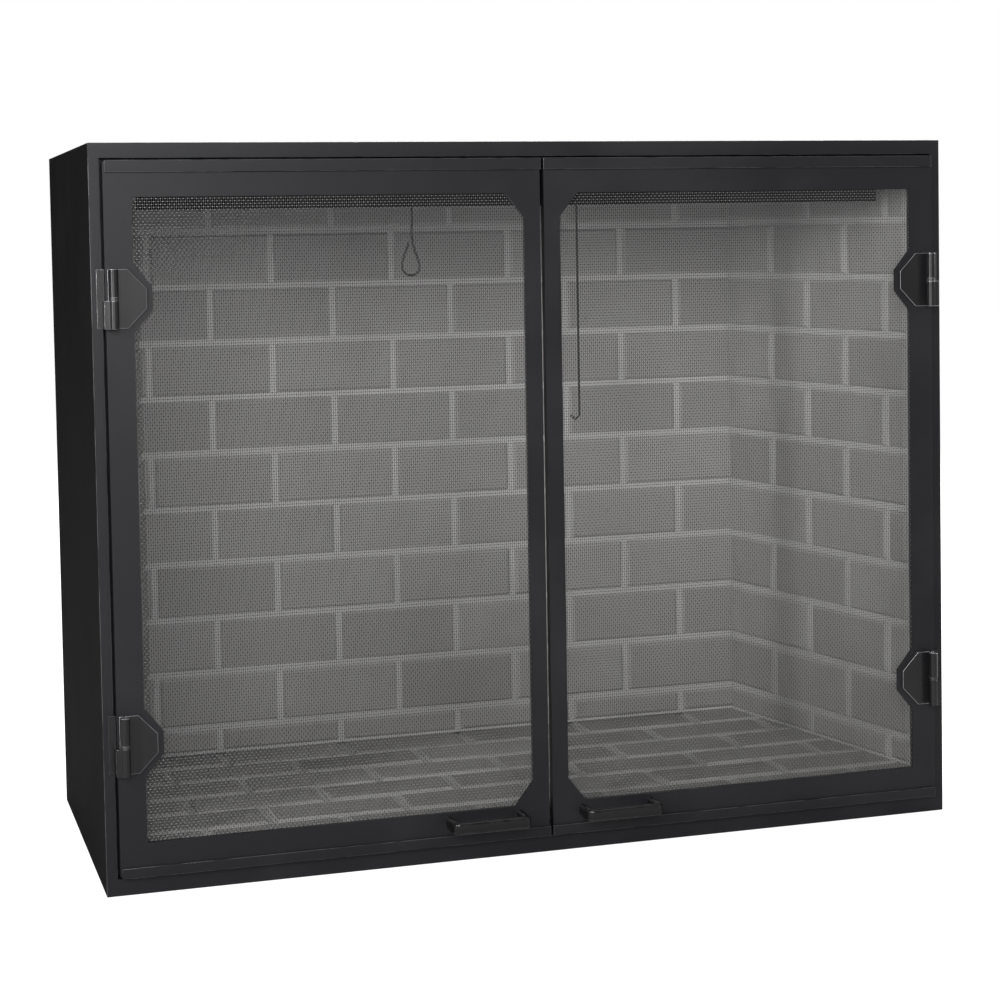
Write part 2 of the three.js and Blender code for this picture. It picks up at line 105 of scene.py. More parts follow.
# %% A socket that does arithmetic
class Value:
    """An output of a node. Python arithmetic on it adds Math nodes."""

    def __init__(self, tree, socket):
        self.tree = tree
        self.socket = socket

    def math(self, operation, first, second):
        return add_node(
            self.tree, "ShaderNodeMath", {"operation": operation}, {0: first, 1: second}
        )

    def __add__(self, other):
        return self.math("ADD", self, other)

    def __sub__(self, other):
        return self.math("SUBTRACT", self, other)

    def __rsub__(self, other):
        return self.math("SUBTRACT", other, self)

    def __mul__(self, other):
        return self.math("MULTIPLY", self, other)

    def __pow__(self, other):
        return self.math("POWER", self, other)

    __radd__ = __add__
    __rmul__ = __mul__


def add_node(tree, kind, settings=None, sockets=None, output=0):
    """Adds a node, sets what it is, fills or links its sockets and returns one output."""
    node = tree.nodes.new(kind)
    for name, value in (settings or {}).items():
        if name == "stops":
            for stop, (place, shade) in zip(node.color_ramp.elements, value):
                stop.position = place
                stop.color = (shade, shade, shade, 1)
        else:
            setattr(node, name, value)
    for name, value in (sockets or {}).items():
        if isinstance(value, Value):
            tree.links.new(value.socket, node.inputs[name])
        else:
            node.inputs[name].default_value = value
    return Value(tree, node.outputs[output])


# %% A finish with one shader
class Finish:
    """A material with one Principled shader, and the patterns its nodes often need."""

    def __init__(self, name, **constants):
        self.material = bpy.data.materials.new(name)
        self.material.use_nodes = True
        self.tree = self.material.node_tree
        self.tree.nodes.clear()
        self.shader = self.tree.nodes.new("ShaderNodeBsdfPrincipled")
        out = self.tree.nodes.new("ShaderNodeOutputMaterial")
        self.tree.links.new(self.shader.outputs[0], out.inputs[0])
        for socket, value in constants.items():
            self.shader.inputs[socket.replace("_", " ")].default_value = value

    def node(self, kind, settings=None, sockets=None, output=0):
        return add_node(self.tree, kind, settings, sockets, output)

    def place(self, scale=(1, 1, 1)):
        """Object coordinates, stretched along the axes."""
        where = self.node("ShaderNodeTexCoord", output="Object")
        return self.node("ShaderNodeMapping", sockets={"Vector": where, "Scale": scale})

    def noise(self, size, detail=3, scale=(1, 1, 1)):
        """Cloudy noise whose blotches are about `size` metres across."""
        return self.node(
            "ShaderNodeTexNoise",
            sockets={"Vector": self.place(scale), "Scale": 1 / size, "Detail": detail},
        )

    def mask(self, value, low, high):
        """0 below `low`, 1 above `high`, and smooth between."""
        return self.node(
            "ShaderNodeMapRange",
            {"interpolation_type": "SMOOTHSTEP"},
            {"Value": value, "From Min": low, "From Max": high},
        )

    def attribute(self, name):
        return self.node("ShaderNodeAttribute", {"attribute_name": name}, output="Fac")

    def blend(self, mask, first, second):
        """A colour that is `first` where the mask is 0 and `second` where it is 1."""
        sides = [
            side if isinstance(side, Value) else (*side, 1) for side in (first, second)
        ]
        return self.node(
            "ShaderNodeMix",
            {"data_type": "RGBA"},
            {0: mask, 6: sides[0], 7: sides[1]},
            output=2,
        )

    def set(self, socket, value):
        self.tree.links.new(value.socket, self.shader.inputs[socket])

    def bump(self, height, depth, strength=1.0):
        """Tips the shading normal by a height pattern that is `depth` metres deep."""
        self.set("Normal", self.node(
            "ShaderNodeBump",
            sockets={"Height": height, "Distance": depth, "Strength": strength},
        ))


print("shader helpers ready")

# %% [markdown]
# ## Black paint on steel
# The face frame, doors and housing are sheet steel in heat-proof black paint. The film
# is never quite even: it dries in a fine orange-peel ripple, holds a trace of dust and
# rubs thin on the folded edges, where the steel begins to shine through. The ripple is
# a bump, the dust a faint cloud of grey, and the rubbed edges follow an attribute that
# is written on the rounded edge faces when a piece is softened. On the hinges that
# bright edge steel is light and spread wide, so there it is partly worn paint and
# partly a painted highlight along the rounded edges. Four coats differ in shade and
# gloss: satin on the doors and frame, matt on the housing, glossy on the hinges, and a
# smooth enamel on the handles.

# %% Paint
def paint(name, colour, dusty, steel, roughness, peel, specular, wear_and_highlight_spread):
    finish = Finish(name, Specular_IOR_Level=specular)
    cloud = finish.mask(finish.noise(0.16, 5), 0.42, 0.68)
    flecks = finish.mask(finish.noise(0.004, 2), 0.60, 0.74)
    # Bright steel on the rounded edges: worn paint, and on the hinges also a painted
    # highlight.
    rubbed = finish.attribute("rubbed") * finish.mask(finish.noise(0.03, 4), *wear_and_highlight_spread)
    film = finish.blend(cloud * 0.8 + flecks * 0.2, colour, dusty)
    finish.set("Base Color", finish.blend(rubbed, film, steel))
    finish.set("Roughness", roughness + cloud * 0.09 - rubbed * 0.16)
    finish.set("Metallic", rubbed * 0.6)
    finish.bump(finish.noise(0.0016, 2) + finish.noise(0.012, 1) * 0.6, peel)
    return finish.material


front_paint = paint(
    "satin_black_front_paint", (0.0074, 0.0075, 0.0090), (0.0115, 0.0116, 0.0130),
    (0.09, 0.09, 0.093), 0.42, 0.00006, specular=0.24, wear_and_highlight_spread=(0.36, 0.60),
)
housing_paint = paint(
    "matt_black_housing_paint", (0.0045, 0.0045, 0.0045), (0.0075, 0.0072, 0.0072),
    (0.03, 0.03, 0.03), 0.80, 0.00010, specular=0.06, wear_and_highlight_spread=(0.42, 0.66),
)
# The hinges' light, widely spread edge steel is partly worn paint and partly a painted
# highlight on the rounded edges.
hinge_paint = paint(
    "gloss_black_hinge_paint", (0.0070, 0.0070, 0.0078), (0.0095, 0.0095, 0.0102),
    (0.36, 0.36, 0.37), 0.25, 0.00004, specular=0.36, wear_and_highlight_spread=(0.22, 0.50),
)
handle_enamel = paint(
    "gloss_black_handle_enamel", (0.0035, 0.0035, 0.0038), (0.0050, 0.0050, 0.0055),
    (0.03, 0.03, 0.03), 0.17, 0.00003, specular=0.42, wear_and_highlight_spread=(0.34, 0.60),
)
PAINTS = (front_paint, housing_paint, hinge_paint, handle_enamel)
print("paints:", *[coat.name for coat in PAINTS])

# %% [markdown]
# ## Bare and blued steel, plastic
# The pins, screws and strike plates are bare steel. Heat turns it straw-brown and
# blue-grey in drifting patches, and turning leaves fine lines on it, so its colour and
# roughness both follow stretched noise. The hinge washers are the same steel, blued
# dark, and the pull wires are dull with soot. The mesh wire is drawn steel with a dark
# oxide coat. The knuckles that stand forward carry a painted highlight, strongest on the
# crosswires, which a light from above would catch: a number on each ring of the wire
# says how bright. The catch is a block of moulded plastic.

# %% Steel and plastic
def drawn_steel(name, bright, blued, roughness, metallic):
    finish = Finish(name, Metallic=metallic)
    heat = finish.mask(finish.noise(0.05, 4), 0.35, 0.7)
    lines = finish.noise(0.0012, 3, (1, 1, 0.08))
    finish.set("Base Color", finish.blend(heat, bright, blued))
    finish.set("Roughness", roughness + lines * 0.16 + heat * 0.08)
    finish.bump(lines, 0.00002)
    return finish.material


bare_steel = drawn_steel(
    "heat_tinted_steel", (0.32, 0.31, 0.30), (0.13, 0.12, 0.13), 0.28, 0.9,
)
blued_steel = drawn_steel(
    "blued_washer_steel", (0.07, 0.07, 0.07), (0.04, 0.04, 0.045), 0.34, 0.8,
)
pull_wire = drawn_steel(
    "sooted_pull_wire", (0.05, 0.05, 0.05), (0.025, 0.025, 0.027), 0.40, 0.6,
)


def oxide_wire(name):
    """Wire cloth's finish: a black oxide, with a painted highlight where the wire stands
    forward.
    """
    finish = Finish(name, Metallic=0.4)
    heat = finish.mask(finish.noise(0.09, 4), 0.35, 0.7)
    knuckle_highlight = finish.attribute("rubbed")
    oxide = finish.blend(heat, (0.045, 0.045, 0.046), (0.030, 0.030, 0.032))
    # The pale grey blended in at the knuckles is a painted highlight.
    finish.set("Base Color", finish.blend(knuckle_highlight ** 4, oxide, (0.52, 0.52, 0.51)))
    finish.set("Roughness", 0.42 + heat * 0.1 - knuckle_highlight * 0.1)
    return finish.material


mesh_wire = oxide_wire("oxide_coated_wire")


def moulded_plastic(name):
    finish = Finish(name)
    grain = finish.noise(0.0009, 2)
    dust = finish.mask(finish.noise(0.02, 4), 0.45, 0.7)
    finish.set(
        "Base Color", finish.blend(dust, (0.018, 0.018, 0.019), (0.035, 0.034, 0.033)),
    )
    finish.set("Roughness", 0.48 + dust * 0.2)
    finish.bump(grain, 0.00005)
    return finish.material


catch_plastic = moulded_plastic("grained_black_plastic")
print("steel and plastic:", bare_steel.name, mesh_wire.name, catch_plastic.name)

# %% [markdown]
# ## Firebrick
# The lining is cast refractory in a brick pattern. The brick faces are a warm grey with
# sand and small pits in them, no two quite the same shade, and the joints are paler and
# rougher. The pits are painted darker as well as sunk, a painted shade in them. Soot
# darkens the lining in soft patches, and a painted shade darkens it towards the bottom.
# Each brick carries a `shade` number and each joint a `joint` mark as attributes, so
# colour follows the modelled pattern.

# %% Firebrick
def cast_refractory(name):
    finish = Finish(name, Specular_IOR_Level=0.2)
    joint = finish.attribute("joint")
    sand = finish.noise(0.0022, 3)
    drift = finish.mask(finish.noise(0.05, 5), 0.36, 0.66)
    soot = finish.mask(finish.noise(0.30, 4), 0.45, 0.72)
    # Pits sink in the bump and are painted darker: a painted shade in them.
    pits_and_pit_shade = finish.mask(finish.noise(0.007, 3), 0.67, 0.76)
    face = finish.blend(
        finish.attribute("shade"), (0.34, 0.335, 0.328), (0.44, 0.435, 0.425),
    )
    face = finish.blend(drift * 0.45, face, (0.37, 0.355, 0.34))
    face = finish.blend(pits_and_pit_shade * 0.4, face, (0.20, 0.19, 0.18))
    wall = finish.blend(joint, face, (0.62, 0.615, 0.605))
    wall = finish.blend(finish.mask(sand, 0.35, 0.75) * 0.3, wall, (0.55, 0.545, 0.53))
    height = finish.node("ShaderNodeSeparateXYZ", sockets={0: finish.place()}, output="Z")
    # Darker towards the bottom: a painted shade, blended in with the soot patches.
    low_painted_shade = 1 - finish.mask(height, 0.05, 0.66)
    finish.set(
        "Base Color", finish.blend(soot * 0.20 + low_painted_shade * 0.26, wall, (0.10, 0.095, 0.09)),
    )
    finish.set("Roughness", 0.86 + sand * 0.12)
    finish.bump(sand * 0.5 + finish.noise(0.016, 3) * 0.8 - pits_and_pit_shade * 0.8, 0.0012, 0.8)
    return finish.material


firebrick = cast_refractory("sanded_grey_firebrick")
FINISH_OF_SLOT = {
    "front_paint": front_paint,
    "housing_paint": housing_paint,
    "hinge_paint": hinge_paint,
    "mesh_wire": mesh_wire,
    "bare_steel": bare_steel,
    "catch_plastic": catch_plastic,
    "firebrick": firebrick,
}
print("finishes:", len(FINISH_OF_SLOT))

# %% [markdown]
# ## Softened edges
# The imported model has knife-sharp edges, which no folded, ground and painted steel has.
# A copy of a part is merged, because its triangles are loose, and its flat faces are
# made whole again. Then only the outward corners are bevelled. The new narrow faces
# are marked so that the paint thins there, and on the hinges so that they carry a
# painted highlight. A Weighted Normal modifier keeps the large faces looking flat and
# the narrow ones round.

# %% Softening helpers
SHARP = math.radians(30)
FLAT = math.radians(0.5)
WELD = 0.01 * MM


def new_piece(name, bm, finish, body, smooth=SHARP):
    """Makes an object of a bmesh: smooth-shaded, painted, and riding on its body."""
    mesh = bpy.data.meshes.new(name)
    bm.to_mesh(mesh)
    bm.free()
    mesh.shade_smooth()
    mesh.set_sharp_from_angle(angle=smooth)
    mesh.materials.append(finish)
    piece = bpy.data.objects.new(name, mesh)
    bpy.context.scene.collection.objects.link(piece)
    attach(piece, body)
    return piece


def merged_copy(node):
    """A bmesh of a part, with its loose triangles joined and its flat faces whole."""
    bm = bmesh.new()
    bm.from_mesh(frame["nodes"][node].data)
    bmesh.ops.remove_doubles(bm, verts=bm.verts, dist=WELD)
    bmesh.ops.dissolve_limit(bm, angle_limit=FLAT, verts=bm.verts, edges=bm.edges)
    return bm


def round_corners(bm, radius, segments):
    """Bevels the outward corners and marks the new faces: worn paint, and on the hinges a
    painted highlight.
    """
    rubbed = bm.faces.layers.float.new("rubbed")
    corners = [
        edge for edge in bm.edges
        if edge.is_manifold and edge.is_convex and edge.calc_face_angle() > SHARP
    ]
    made = bmesh.ops.bevel(
        bm, geom=corners, offset=radius, offset_type="OFFSET", affect="EDGES",
        segments=segments, profile=0.5, material=-1, clamp_overlap=True,
    )
    for face in made["faces"]:
        face[rubbed] = 1


def softened(node, radius, segments, finish):
    bm = merged_copy(node)
    round_corners(bm, radius, segments)
    piece = new_piece(f"{node}_finished", bm, finish, body_of_node[node])
    piece.modifiers.new("even_shading", "WEIGHTED_NORMAL").keep_sharp = True
    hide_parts(node)
    return piece


def soften_all(nodes, slot, radius, segments=2, finish=None):
    finish = finish or FINISH_OF_SLOT[slot]
    made = [softened(node, radius, segments, finish) for node in nodes]
    faces = sum(len(piece.data.polygons) for piece in made)
    print(f"{slot}: {len(made)} pieces, {faces} faces")


print(f"corners sharper than {math.degrees(SHARP):.0f} degrees are rounded")


# %% [markdown]
# ## Housing and face frame
# The firebox is a folded steel box with a stepped frame on its face. The sheet is two
# millimetres thick, so its edges take a radius of about half a millimetre: enough to
# catch a thin line of light along every fold. The lintel shield hangs inside behind
# the top of the opening, and the throat, flap and brackets carry the damper.

# %% Sheet metal
SIDES = ("left", "right")
LEVELS = ("upper", "lower")
SHEET_RADIUS = 0.5 * MM

soften_all(["face_frame"], "front_paint", SHEET_RADIUS)
soften_all(
    ["housing_left_side", "housing_right_side", "housing_top", "housing_bottom",
     "housing_back", "lintel_shield", "flue_throat", "damper_flap",
     "damper_left_bracket", "damper_right_bracket"],
    "housing_paint", SHEET_RADIUS,
)

# %% [markdown]
# ## Door frames
# Each door is a shallow pan with a window cut in it, capped by a channel along its top
# and bottom. A flat ring behind the window clamps the mesh. All are the same sheet, so
# they get the same small radius, and the window's cut edge catches the light with it.

# %% Door frames
soften_all(
    [f"{side}_{piece}" for side in SIDES
     for piece in ("door_face", "door_top_channel", "door_bottom_channel", "mesh_retainer")],
    "front_paint", SHEET_RADIUS,
)

# %% [markdown]
# ## Handles, hinges and small parts
# The handles are bars with generous round edges, bent twice. A bevel can't be wider
# than the shortest edge it meets, and the bends are made of short ones, so the bar is
# swept instead: a rectangle with rounded corners is extruded out from the door, spun
# round the first bend, extruded across, spun again and extruded back. Each foot has a
# socket for its screw. Hinge leaves are cut from plate, with their knuckles rolled.
# Pins, washers, screws, strikes, rod and catches only lose their sharpness. The pull
# wires are round all over, so they are smoothed and not bevelled.

# %% Handles
BAR = 8 * MM
BAR_ROUND = 3.2 * MM
ROUND_STEPS = 5
BEND = 4 * MM
BEND_STEPS = 6
SOCKET_WALL = 1.8 * MM
SOCKET_DEPTH = 12 * MM


def extruded(bm, face, along):
    """Extrudes one face by a vector and returns the face at the far end.

    The edges go in too: without them the operator keeps the old face as an inner wall.
    """
    grown = bmesh.ops.extrude_face_region(bm, geom=[face, *face.edges])["geom"]
    verts = [item for item in grown if isinstance(item, bmesh.types.BMVert)]
    bmesh.ops.translate(bm, verts=verts, vec=along)
    return next(item for item in grown if isinstance(item, bmesh.types.BMFace))


def bent(bm, face, centre):
    """Spins one face a quarter turn about an upright line."""
    turned = bmesh.ops.spin(
        bm, geom=[face, *face.edges, *face.verts], cent=centre, axis=(0, 0, 1),
        angle=math.pi / 2, steps=BEND_STEPS, use_duplicate=False,
    )["geom_last"]
    return next(item for item in turned if isinstance(item, bmesh.types.BMFace))


def screw_socket(bm, foot):
    """Sinks a pocket into the end of a leg, wide enough for the screw."""
    bmesh.ops.inset_individual(bm, faces=[foot], thickness=SOCKET_WALL, use_even_offset=True)
    floor = bmesh.ops.extrude_discrete_faces(bm, faces=[foot])["faces"][0]
    bmesh.ops.translate(bm, verts=floor.verts, vec=(0, -SOCKET_DEPTH, 0))


# %% Sweep the handles
def bar_section(bm, height, place):
    """A rectangle with rounded corners, flat against the door."""
    flat = Matrix.Rotation(math.pi / 2, 4, "X") @ Matrix.Diagonal((BAR, height, 1, 1))
    bmesh.ops.create_grid(bm, x_segments=1, y_segments=1, size=0.5, matrix=flat)
    bmesh.ops.bevel(
        bm, geom=bm.verts[:], offset=BAR_ROUND, affect="VERTICES",
        segments=ROUND_STEPS, profile=0.5, material=-1,
    )
    bmesh.ops.translate(bm, verts=bm.verts, vec=place)
    bm.faces.ensure_lookup_table()
    return bm.faces[0]


def bar_handle(side):
    low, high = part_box(f"{side}_handle")
    inset = BAR / 2 + BEND
    leg = high.y - low.y - inset
    across = high.x - low.x - 2 * inset
    bm = bmesh.new()
    near_foot = bar_section(
        bm, high.z - low.z, (low.x + BAR / 2, high.y, (low.z + high.z) / 2),
    )
    face = extruded(bm, near_foot, Vector((0, -leg, 0)))
    face = bent(bm, face, (low.x + inset, high.y - leg, 0))
    face = extruded(bm, face, Vector((across, 0, 0)))
    face = bent(bm, face, (high.x - inset, high.y - leg, 0))
    far_foot = extruded(bm, face, Vector((0, leg, 0)))
    for foot in (near_foot, far_foot):
        screw_socket(bm, foot)
    bmesh.ops.recalc_face_normals(bm, faces=bm.faces)
    rubbed = bm.faces.layers.float.new("rubbed")
    for face in bm.faces:
        face[rubbed] = 0.1 < abs(face.normal.z) < 0.9
    piece = new_piece(
        f"{side}_handle_finished", bm, handle_enamel, f"{side}_door",
        smooth=math.radians(40),
    )
    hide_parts(f"{side}_handle")
    print(f"{piece.name}: {len(piece.data.polygons)} faces, leg {leg / MM:.1f} mm")


for side in SIDES:
    bar_handle(side)

# %% Hardware
for leaf, radius in (("door_leaf", 0.40 * MM), ("frame_leaf", 0.85 * MM)):
    soften_all(
        [f"{side}_{level}_{leaf}" for side in SIDES for level in LEVELS],
        "hinge_paint", radius, 3,
    )
soften_all(
    [f"{side}_{level}_hinge_washer" for side in SIDES for level in LEVELS],
    "bare_steel", 0.25 * MM, 2, blued_steel,
)
soften_all(
    [f"{side}_{level}_hinge_pin" for side in SIDES for level in LEVELS]
    + [f"{side}_{piece}" for side in SIDES
       for piece in ("handle_outer_screw", "handle_inner_screw", "strike_plate")]
    + ["damper_rod"],
    "bare_steel", 0.25 * MM,
)
soften_all([f"{side}_magnetic_catch" for side in SIDES], "catch_plastic", 0.8 * MM, 3)


# %% Pull wires
WIRE_SHARP = math.radians(60)


def smooth_wire(node):
    bm = merged_copy(node)
    piece = new_piece(
        f"{node}_finished", bm, pull_wire, body_of_node[node],
        smooth=WIRE_SHARP,
    )
    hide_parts(node)
    return piece


wires = [smooth_wire(node) for node in ("short_damper_pull", "long_damper_pull")]
print("pull wires:", [piece.name for piece in wires])

# %% [markdown]
# ## Woven mesh
# The screens are plain-weave wire cloth: uprights and crosswires pass over and under
# each other at every crossing. A texture could suggest it, but it has to hide and show
# the bricks as the eye moves, so it is woven for real. One wire is a triangle extruded
# from crossing to crossing, swinging to the front and back in turn. Its neighbour
# swings the other way. The pair is then repeated across the window, and the cloth is
# trimmed at the window's two cut corners. Three sides are enough for a wire thinner
# than a millimetre, and keep thousands of crossings light.

# %% One wire
WIRE = 0.62 * MM
WIRE_CORNER = 0.36 * MM
WIRE_SIDES = 3
UPRIGHT_SPACING = 2.55 * MM
CROSSWIRE_SPACING = 3.25 * MM
# How bright the painted highlight is on the front knuckles: strongest on the crosswires,
# which a light from above would catch.
UPRIGHT_HIGHLIGHT, CROSSWIRE_HIGHLIGHT = 0.25, 1.0
CORNER_CUT_WIDTH = 22.5 * MM
CORNER_CUT_HEIGHT = 28.5 * MM
print("uprights and crosswires, mm apart:", UPRIGHT_SPACING / MM, CROSSWIRE_SPACING / MM)


def edges_between(verts):
    """The edges that join these vertices to each other."""
    chosen = set(verts)
    return [
        edge for edge in {edge for vert in verts for edge in vert.link_edges}
        if chosen.issuperset(edge.verts)
    ]


def zigzag_wire(bm, start, step, crossings, swing, highlight_strength):
    """A wire from `start` with a ring at each crossing, swung to the back and front."""
    rubbed = bm.verts.layers.float["rubbed"]
    turn = Vector((0, 0, 1)).rotation_difference(step).to_matrix().to_4x4()
    ring = bmesh.ops.create_circle(
        bm, segments=WIRE_SIDES, radius=WIRE_CORNER,
        matrix=Matrix.Translation(start + Vector((0, swing, 0))) @ turn,
    )["verts"]
    for _ in range(crossings - 1):
        grown = bmesh.ops.extrude_edge_only(bm, edges=edges_between(ring))["geom"]
        ring = [item for item in grown if isinstance(item, bmesh.types.BMVert)]
        bmesh.ops.translate(bm, verts=ring, vec=step - Vector((0, 2 * swing, 0)))
        swing = -swing
        # Rings that stand forward carry the painted highlight.
        for vert in ring:
            vert[rubbed] = highlight_strength if swing < 0 else 0


# %% Wires side by side
def wire_cloth(start, step, crossings, spacing, pairs, swing, highlight_strength):
    """Wires that swing oppositely in turn: one pair, repeated side by side."""
    bm = bmesh.new()
    bm.verts.layers.float.new("rubbed")
    zigzag_wire(bm, start, step, crossings, swing, highlight_strength)
    zigzag_wire(bm, start + spacing, step, crossings, -swing, highlight_strength)
    pair = bm.verts[:] + bm.edges[:] + bm.faces[:]
    for repeat in range(1, pairs):
        copied = bmesh.ops.duplicate(bm, geom=pair)["geom"]
        verts = [item for item in copied if isinstance(item, bmesh.types.BMVert)]
        bmesh.ops.translate(bm, verts=verts, vec=spacing * 2 * repeat)
    return bm


def trim_corner(bm, corner, outward):
    """Cuts the cloth along the line across one corner of the window."""
    bmesh.ops.bisect_plane(
        bm, geom=bm.verts[:] + bm.edges[:] + bm.faces[:], clear_outer=True,
        plane_co=corner - Vector((outward.x * CORNER_CUT_WIDTH, 0, 0)),
        plane_no=Vector((outward.x * CORNER_CUT_HEIGHT, 0, outward.z * CORNER_CUT_WIDTH)),
    )


def close_ends(bm):
    """Caps every cut wire and turns all the faces outwards."""
    bmesh.ops.holes_fill(bm, edges=[edge for edge in bm.edges if edge.is_boundary])
    bmesh.ops.recalc_face_normals(bm, faces=bm.faces)


# %% Weave both screens
def even_count(length, spacing):
    """How many wires fit, as a multiple of four: two halves, each made of pairs."""
    return 4 * round((length / spacing + 1) / 4)


def weave_half(side, name, start, step, crossings, spacing, count, half, swing, highlight_strength):
    """Half of a door's uprights or crosswires, trimmed to the window's cut corners."""
    low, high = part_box(f"{side}_mesh_panel")
    first = start + spacing * (half * count // 2)
    bm = wire_cloth(first, step, crossings, spacing, count // 4, swing, highlight_strength)
    outward = 1 if side == "left" else -1
    meeting = high.x if side == "left" else low.x
    for edge_z, way in ((low.z, -1), (high.z, 1)):
        trim_corner(bm, Vector((meeting, start.y, edge_z)), Vector((outward, 0, way)))
    close_ends(bm)
    piece = new_piece(
        f"{side}_mesh_{name}_{half + 1}", bm, mesh_wire, f"{side}_door",
        smooth=math.pi,
    )
    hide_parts(f"{side}_mesh_panel")
    print(f"{piece.name}: {len(piece.data.polygons)} faces")


def weave_screen(side):
    low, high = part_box(f"{side}_mesh_panel")
    middle = (low.y + high.y) / 2
    start = Vector((low.x + WIRE / 2, middle, low.z + WIRE / 2))
    across, up = high.x - low.x - WIRE, high.z - low.z - WIRE
    uprights = even_count(across, UPRIGHT_SPACING)
    crosswires = even_count(up, CROSSWIRE_SPACING)
    x_step = Vector((across / (uprights - 1), 0, 0))
    z_step = Vector((0, 0, up / (crosswires - 1)))
    for half in (0, 1):
        weave_half(
            side, "uprights", start, z_step, crosswires, x_step, uprights, half,
            WIRE / 2, UPRIGHT_HIGHLIGHT,
        )
        weave_half(
            side, "crosswires", start, x_step, uprights, z_step, crosswires, half,
            -WIRE / 2, CROSSWIRE_HIGHLIGHT,
        )


for side in SIDES:
    weave_screen(side)

# %% [markdown]
# ## Brick panels
# A refractory panel is cast in one slab, with bricks standing a few millimetres proud
# of their joints. So each panel starts as one rectangle. It is cut across at every
# course and then, course by course, at every brick end, shifted by half a brick in
# each second course. The faces are inset to leave the joints, then inset again while
# they rise, which makes the sloping arrises. Last, the outline is drawn back into a
# slab and closed. Small random tilts keep the faces from shining alike.

# %% Brick pattern
COURSE = 74.7 * MM
BRICK = 168 * MM
COURSE_LINE = 611.3 * MM
JOINT = 8.5 * MM
RELIEF = 3.6 * MM
ARRIS = 1.8 * MM
LEAN, TWIST = 0.012, 0.006
SMALLEST_BRICK = 30 * MM
MIDDLE_END = 8 * MM
HEARTH_LINE = 40 * MM
dice = random.Random(42)
print(f"bricks {BRICK / MM:.0f} by {COURSE / MM:.1f} mm, joints {JOINT / MM:.1f} mm")


def lines_between(low, high, spacing, through):
    """Evenly spaced lines that pass through one place and stay clear of both ends."""
    first = math.ceil((low + SMALLEST_BRICK - through) / spacing)
    last = math.floor((high - SMALLEST_BRICK - through) / spacing)
    return [through + spacing * k for k in range(first, last + 1)]


def cut_faces(bm, faces, place, normal):
    """Cuts only these faces along a plane."""
    geom = set(faces)
    for face in faces:
        geom.update(face.edges, face.verts)
    bmesh.ops.bisect_plane(bm, geom=list(geom), plane_co=place, plane_no=normal)


def course_faces(bm, low, high):
    """The faces of one course: those whose middle lies between two heights."""
    return [face for face in bm.faces if low < face.calc_center_median().z < high]


def cut_bricks(bm, width, height, first_line, first_end):
    """Cuts a rectangle into courses, and each course into bricks."""
    lines = lines_between(0, height, COURSE, first_line)
    for line in lines:
        cut_faces(bm, bm.faces[:], (0, 0, line), (0, 0, 1))
    for low, high in zip([0, *lines], [*lines, height]):
        course = math.floor(((low + high) / 2 - first_line) / COURSE)
        shift = first_end + (course % 2) * BRICK / 2
        for end in lines_between(0, width, BRICK, shift):
            cut_faces(bm, course_faces(bm, low, high), (end, 0, 0), (1, 0, 0))


# %% Raise the bricks and close the slab
def raise_bricks(bm):
    """Insets each brick to leave its joint, then raises and tilts it a little."""
    joint = bm.faces.layers.float.new("joint")
    shade = bm.faces.layers.float.new("shade")
    bricks = bm.faces[:]
    for brick in bricks:
        brick[shade] = dice.random()
    for width, height in ((JOINT / 2, 0), (ARRIS, 0.7 * RELIEF), (ARRIS, 0.3 * RELIEF)):
        rim = bmesh.ops.inset_individual(
            bm, faces=bricks, thickness=width, depth=height, use_even_offset=True,
        )["faces"]
        for face in rim:
            face[joint] = 0.25 if height else 1
    for brick in bricks:
        tilt = Euler((dice.uniform(-LEAN, LEAN), 0, dice.uniform(-TWIST, TWIST)))
        bmesh.ops.rotate(
            bm, verts=brick.verts, cent=brick.calc_center_median(),
            matrix=tilt.to_matrix(),
        )


def close_slab(bm, thickness):
    """Draws the outline back into a slab. Its edges and back are brick-coloured."""
    joint = bm.faces.layers.float["joint"]
    rim = bmesh.ops.extrude_edge_only(
        bm, edges=[edge for edge in bm.edges if edge.is_boundary]
    )["geom"]
    verts = [item for item in rim if isinstance(item, bmesh.types.BMVert)]
    bmesh.ops.translate(bm, verts=verts, vec=(0, thickness - RELIEF, 0))
    back = bmesh.ops.contextual_create(bm, geom=edges_between(verts))["faces"]
    for face in back + [item for item in rim if isinstance(item, bmesh.types.BMFace)]:
        face[joint] = 0
    bmesh.ops.recalc_face_normals(bm, faces=bm.faces)


def brick_panel(node, origin, along, into, up, width, height, first_line, first_end):
    """A panel whose brick faces start at `origin` and run along and up from it."""
    bm = bmesh.new()
    flat = Matrix.Rotation(math.pi / 2, 4, "X") @ Matrix.Diagonal((width, height, 1, 1))
    bmesh.ops.create_grid(bm, x_segments=1, y_segments=1, size=0.5, matrix=flat)
    bmesh.ops.translate(bm, verts=bm.verts, vec=(width / 2, 0, height / 2))
    cut_bricks(bm, width, height, first_line, first_end)
    raise_bricks(bm)
    close_slab(bm, into.length)
    bmesh.ops.translate(bm, verts=bm.verts, vec=(0, RELIEF, 0))
    place = Matrix((along, into.normalized(), up)).transposed().to_4x4()
    place.translation = origin
    bmesh.ops.transform(bm, matrix=place, verts=bm.verts)
    piece = new_piece(
        f"{node}_bricks", bm, firebrick, "firebox", smooth=math.radians(20),
    )
    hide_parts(node)
    print(f"{piece.name}: {len(piece.data.polygons)} faces, {width:.3f} by {height:.3f} m")


# %% Lining
UP = Vector((0, 0, 1))
back_low, back_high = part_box("back_brick_panel")
hearth_low, hearth_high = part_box("hearth_slab")
first_line = COURSE_LINE - back_low.z

